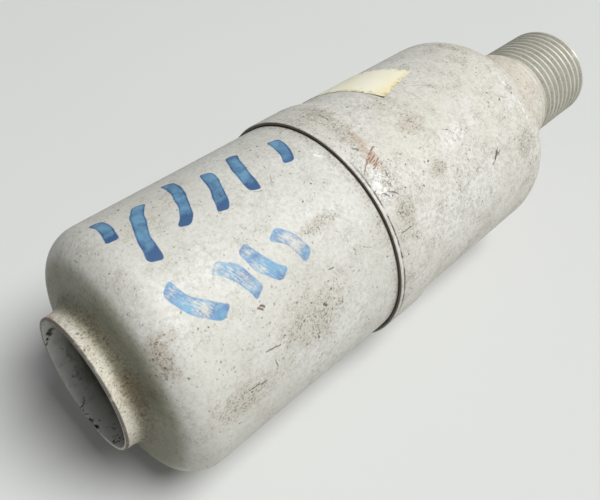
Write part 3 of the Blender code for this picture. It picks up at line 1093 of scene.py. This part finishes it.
# Inlet
def make_weld_bead():
    root = nipple_radius + SHEET / 5
    shape = bmesh.new()
    points = profile(
        shape, [(bead_end, root), (bead_start, root), (bead_start, neck_radius), (bead_end, neck_radius)]
    )
    shape.edges.new((points[-1], points[0]))
    round_corner(shape, points[2], (neck_radius - root) * 0.96, 8)
    spin_round(shape, SHELL_STEPS)
    for point in shape.verts:
        reach = math.hypot(point.co.y, point.co.z)
        if reach > root + SHEET / 4:
            ripple = noise.noise(point.co / 0.0022) * 0.5 + noise.noise(point.co / 0.006) * 0.5
            set_radius(point, reach - BEAD_RIPPLE * (0.5 + 0.5 * ripple))
    made = piece("weld_bead", "bead_paint", shape, bead_paint)
    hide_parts("nipple_weld")


def thread_limits(station):
    """Smallest and largest radius that the die and the lead-in chamfer leave at a station."""
    root = nipple_radius - THREAD_DEPTH
    out = min(max((station - RUN_OUT_START) / (RUN_OUT_END - RUN_OUT_START), 0), 1)
    chamfer = nipple_radius - LEAD_IN_DEPTH + max(station, 0) * LEAD_IN_SLOPE
    return root + THREAD_DEPTH * out * RUN_OUT_RISE, min(nipple_radius, chamfer)


def cut_thread(shape):
    """Sweeps one groove of the thread round and along the nipple, then trims it to the bare length."""
    root = nipple_radius - THREAD_DEPTH
    start = THREAD_CREST_STATION - THREAD_PITCH * 3.5
    shares = [
        (0, root),
        (THREAD_ROOT_SHARE, root),
        (THREAD_CREST_SHARE, nipple_radius),
        (1 - THREAD_CREST_SHARE, nipple_radius),
        (1 - THREAD_ROOT_SHARE, root),
        (1, root),
    ]
    points = profile(shape, [(start + share * THREAD_PITCH, radius) for share, radius in shares])
    for point in points[1:5]:
        round_corner(shape, point, THREAD_ROUND, 2)
    flanks = [
        edge for edge in shape.edges if abs(edge.verts[0].co.z - edge.verts[1].co.z) > THREAD_DEPTH / 2
    ]
    bmesh.ops.subdivide_edges(shape, edges=flanks, cuts=4)
    bmesh.ops.spin(
        shape,
        geom=shape.verts[:] + shape.edges[:],
        cent=(0, 0, 0),
        axis=(1, 0, 0),
        dvec=(THREAD_PITCH / THREAD_STEPS, 0, 0),
        angle=math.tau * THREAD_TURNS,
        steps=THREAD_STEPS * THREAD_TURNS,
        use_merge=False,
    )
    bmesh.ops.remove_doubles(shape, verts=shape.verts, dist=MERGE)
    for station, side in ((inlet_face, "clear_inner"), (bead_start + FIT_GAP, "clear_outer")):
        everything = shape.verts[:] + shape.edges[:] + shape.faces[:]
        cut = {side: True}
        bmesh.ops.bisect_plane(
            shape, geom=everything, dist=MERGE, plane_co=(station, 0, 0), plane_no=(1, 0, 0), **cut
        )
    for point in shape.verts:
        point.co.x = max(point.co.x, inlet_face)
        low, high = thread_limits(point.co.x)
        set_radius(point, min(max(math.hypot(point.co.y, point.co.z), low), high))


def open_ring(shape, station):
    return [edge for edge in rings_at(shape, station) if edge.is_boundary]


def pull(shape, edges, station, radius):
    """Extrudes a ring of edges to another station and radius, and gives back the new ring."""
    made = bmesh.ops.extrude_edge_only(shape, edges=edges)["geom"]
    for point in made:
        if isinstance(point, bmesh.types.BMVert):
            point.co.x = station
            set_radius(point, radius)
    return [item for item in made if isinstance(item, bmesh.types.BMEdge) and item.is_boundary]


def make_nipple():
    shape = bmesh.new()
    cut_thread(shape)
    ring = open_ring(shape, inlet_face)
    ring = pull(shape, ring, inlet_face, NIPPLE_BORE + BORE_CHAMFER)
    ring = pull(shape, ring, inlet_face + BORE_CHAMFER, NIPPLE_BORE)
    inner = pull(shape, ring, nipple_end, NIPPLE_BORE)
    outer = pull(shape, open_ring(shape, bead_start + FIT_GAP), nipple_end, nipple_radius)
    bmesh.ops.bridge_loops(shape, edges=inner + outer)
    bmesh.ops.recalc_face_normals(shape, faces=shape.faces)
    made = piece("threaded_nipple", "thread_steel", shape, thread_steel)
    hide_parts("inlet_nipple")


# Pieces seen through the two mouths
def make_outlet_baffle():
    """A drilled disc: one outline and its holes filled as a sheet, then given its thickness."""
    lay = Matrix.Translation((baffle_back, 0, 0)) @ Matrix.Rotation(math.pi / 2, 4, "Y")
    shape = bmesh.new()
    bmesh.ops.create_circle(shape, segments=TUBE_STEPS, radius=baffle_radius, matrix=lay)
    for ring, count in ((0, 1), (BAFFLE_INNER_RING, 6), (BAFFLE_OUTER_RING, 12)):
        for hole in range(count):
            turn = Matrix.Rotation(math.tau * hole / count, 4, "Z")
            spot = lay @ turn @ Matrix.Translation((ring, 0, 0))
            bmesh.ops.create_circle(shape, segments=HOLE_STEPS, radius=BAFFLE_HOLE_RADIUS, matrix=spot)
    bmesh.ops.triangle_fill(shape, edges=shape.edges[:], use_beauty=True, normal=(1, 0, 0))
    made = bmesh.ops.extrude_face_region(shape, geom=shape.faces[:])["geom"]
    moved = [item for item in made if isinstance(item, bmesh.types.BMVert)]
    bmesh.ops.translate(shape, verts=moved, vec=(baffle_face - baffle_back, 0, 0))
    bmesh.ops.recalc_face_normals(shape, faces=shape.faces)
    sharp = [edge for edge in shape.edges if edge.calc_face_angle(0) > 1]
    soften(shape, sharp, BAFFLE_EDGE, 2)
    made = piece("drilled_outlet_baffle", "plated_steel", shape, plated_steel)
    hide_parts("outlet_baffle")


def drill_cutter():
    """Plain pins where the diffuser's holes are, in staggered rows."""
    shape = bmesh.new()
    for row in range(DIFFUSER_ROW_COUNT):
        station = FIRST_ROW_STATION + row * ROW_SPACING
        for hole in range(DIFFUSER_HOLES_PER_ROW):
            turn = Matrix.Rotation(math.tau * (hole + 0.5 * (row % 2)) / DIFFUSER_HOLES_PER_ROW, 4, "X")
            spot = turn @ Matrix.Translation((station, 0, -diffuser_radius))
            bmesh.ops.create_cone(
                shape,
                cap_ends=True,
                segments=HOLE_STEPS,
                radius1=DIFFUSER_HOLE_RADIUS,
                radius2=DIFFUSER_HOLE_RADIUS,
                depth=diffuser_radius,
                matrix=spot,
            )
    return as_object("drill_pins", shape)


def make_diffuser():
    bore = diffuser_radius - DIFFUSER_WALL
    shape = bmesh.new()
    points = profile(
        shape,
        [
            (diffuser_start, diffuser_radius),
            (diffuser_end, diffuser_radius),
            (diffuser_end, bore),
            (diffuser_start, bore),
        ],
    )
    shape.edges.new((points[-1], points[0]))
    spin_round(shape, TUBE_STEPS)
    tube = piece("perforated_diffuser", "plated_steel", shape, plated_steel)
    pins = drill_cutter()
    cut = tube.modifiers.new("holes", "BOOLEAN")
    cut.operation = "DIFFERENCE"
    cut.solver = "EXACT"
    cut.object = pins
    drilled = bpy.data.meshes.new_from_object(tube.evaluated_get(bpy.context.evaluated_depsgraph_get()))
    tube.modifiers.clear()
    tube.data = drilled
    bpy.data.objects.remove(pins)
    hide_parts("diffuser_tube")


def make_diffuser_cap():
    skirt = diffuser_radius - DIFFUSER_WALL - FIT_GAP
    seat = cap_face - CAP_FLANGE
    shape = bmesh.new()
    points = profile(
        shape,
        [
            (cap_face, 0),
            (cap_face, diffuser_radius),
            (seat, diffuser_radius),
            (seat, skirt),
            (cap_skirt_end, skirt),
            (cap_skirt_end, skirt - CAP_SKIRT_WALL),
            (seat, skirt - CAP_SKIRT_WALL),
            (seat, 0),
        ],
    )
    round_corner(shape, points[6], CAP_INNER_ROUND, 4)
    round_corner(shape, points[1], CAP_EDGE_ROUND, 4)
    spin_round(shape, TUBE_STEPS)
    made = piece("diffuser_plug", "plated_steel", shape, plated_steel)
    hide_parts("diffuser_cap")


# Label
def make_label():
    """A strip of paper laid slantwise round the rear shell, with one corner lifting."""
    shape = bmesh.new()
    bmesh.ops.create_grid(shape, x_segments=24, y_segments=64, size=0.5)
    bmesh.ops.scale(shape, vec=(LABEL_WIDTH, LABEL_LENGTH, 1), verts=shape.verts)
    bmesh.ops.translate(shape, vec=(0, LABEL_LENGTH / 2, 0), verts=shape.verts)
    lifts = {}
    for point in shape.verts:
        corner = Vector((point.co.x - LABEL_WIDTH / 2, point.co.y)).length
        lifts[point] = LABEL_LIFT * max(0, 1 - corner / LABEL_LIFT_REACH) ** 2
    bmesh.ops.rotate(shape, cent=(0, 0, 0), matrix=Matrix.Rotation(LABEL_TILT, 3, "Z"), verts=shape.verts)
    for point in shape.verts:
        angle = LABEL_FIRST_ANGLE + point.co.y / shell_radius
        reach = shell_radius + LABEL_PAPER + LABEL_GLUE + lifts[point]
        point.co = (LABEL_STATION + point.co.x, reach * math.cos(angle), reach * math.sin(angle))
    bmesh.ops.recalc_face_normals(shape, faces=shape.faces)
    middle = shape.faces[:][len(shape.faces) // 2]
    away = Vector((0, middle.calc_center_median().y, middle.calc_center_median().z))
    if middle.normal.dot(away) < 0:
        bmesh.ops.reverse_faces(shape, faces=shape.faces)
    bmesh.ops.solidify(shape, geom=shape.faces[:], thickness=LABEL_PAPER)
    piece("blank_label", "shell_paint", shape, label_paper)


make_front_shell()
make_rear_shell()
make_weld_bead()
make_nipple()
make_outlet_baffle()
make_diffuser()
make_diffuser_cap()
make_label()

# Inner solids that keep their shape
for name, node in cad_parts.items():
    dressed = pressed_felt if "felt" in name else plated_steel
    for seat in node.material_slots:
        seat.material = dressed


# Studio
FLOOR_HALF = 3.0
KEY_ANGLE = math.radians(62)
KEY_STATION = -0.55
KEY_DISTANCE = 3.15
KEY_SIZE = 1.75
KEY_POWER = 138.0
KEY_AIM = (0.065, 0, 0)
FILL_SIZE = 0.20
FILL_POWER = 0.10
SKY_STRENGTH = 0.175


def make_floor():
    made, g, shader, place = look("pale_floor")
    tone = g.noise(place, 6.0, 3.0)
    g.feed(shader["Base Color"], g.mix(tone, (0.55, 0.55, 0.53), (0.59, 0.59, 0.57)))
    shader["Roughness"].default_value = 0.7
    shape = bmesh.new()
    bmesh.ops.create_grid(shape, x_segments=1, y_segments=1, size=FLOOR_HALF)
    bmesh.ops.translate(shape, vec=(0, 0, -socket_radius), verts=shape.verts)
    floor = as_object("floor", shape, made)


def soft_light(name, place, aim, size, power, color=(1, 1, 1)):
    lamp = bpy.data.lights.new(name, "AREA")
    lamp.shape = "DISK"
    lamp.size = size
    lamp.energy = power
    lamp.color = color
    made = bpy.data.objects.new(name, lamp)
    made.location = place
    made.rotation_euler = (Vector(aim) - Vector(place)).to_track_quat("-Z", "Y").to_euler()
    bpy.context.scene.collection.objects.link(made)


def make_world():
    world = bpy.data.worlds.new("studio")
    world.use_nodes = True
    sky = world.node_tree.nodes["Background"].inputs
    sky["Color"].default_value = (0.93, 0.96, 1.0, 1)
    sky["Strength"].default_value = SKY_STRENGTH
    bpy.context.scene.world = world


def make_camera():
    lens = bpy.data.cameras.new("photo_view")
    lens.sensor_width = 36
    lens.lens = 41.263
    lens.shift_x = 0.0390
    lens.shift_y = -0.1048
    lens.clip_start = 0.005
    made = bpy.data.objects.new("photo_view", lens)
    made.location = (0.14773, 0.06102, 0.08356)
    made.rotation_euler = (math.radians(50.840), 0, math.radians(-223.919))
    bpy.context.scene.collection.objects.link(made)
    bpy.context.scene.camera = made


make_floor()
make_world()
key_place = (KEY_STATION, KEY_DISTANCE * math.cos(KEY_ANGLE), KEY_DISTANCE * math.sin(KEY_ANGLE))
soft_light("key", key_place, KEY_AIM, KEY_SIZE, KEY_POWER, (0.975, 0.99, 1.0))
soft_light("fill", (0.45, 0.25, 0.22), (outlet_rim, 0, 0), FILL_SIZE, FILL_POWER)
make_camera()
bpy.context.scene.view_settings.view_transform = "Standard"
